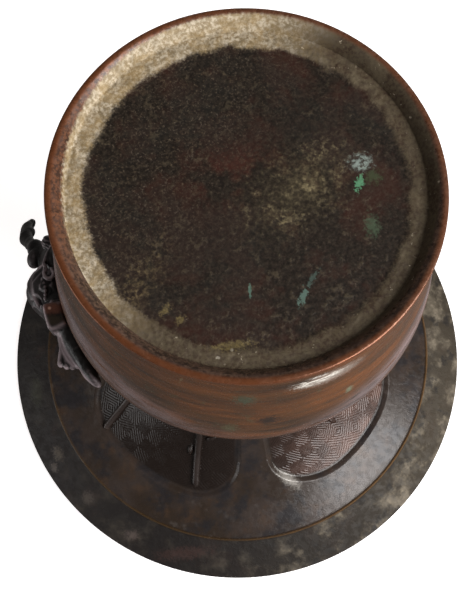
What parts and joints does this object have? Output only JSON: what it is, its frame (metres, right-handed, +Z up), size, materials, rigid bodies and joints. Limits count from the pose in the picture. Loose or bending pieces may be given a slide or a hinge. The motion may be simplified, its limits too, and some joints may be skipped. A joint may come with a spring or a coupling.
{
  "type": "incense burner",
  "caption": "Bronze incense burner: round-bellied vessel on a flat foot, with a wide flared mouth, sunk patterned panels on the flare and a lion clinging head down to its shoulder.",
  "frame": {"origin": "centre of the foot's underside, on the surface that the burner stands on", "axes": "+Z up along the vessel's axis to the mouth, +X through the lion, -Y the side that the lion's head turns to"},
  "size_m": [0.25, 0.25, 0.2312],
  "materials": {
    "body": "aged bronze, semi-gloss",
    "base_plate": "dark patinated bronze with a yellow-grey solder bank",
    "lion": "dark patinated bronze, rubbed on the high places"
  },
  "bodies": {
    "root": {"body": "body", "base_plate": "base_plate", "lion": "lion"}
  },
  "joints": []
}
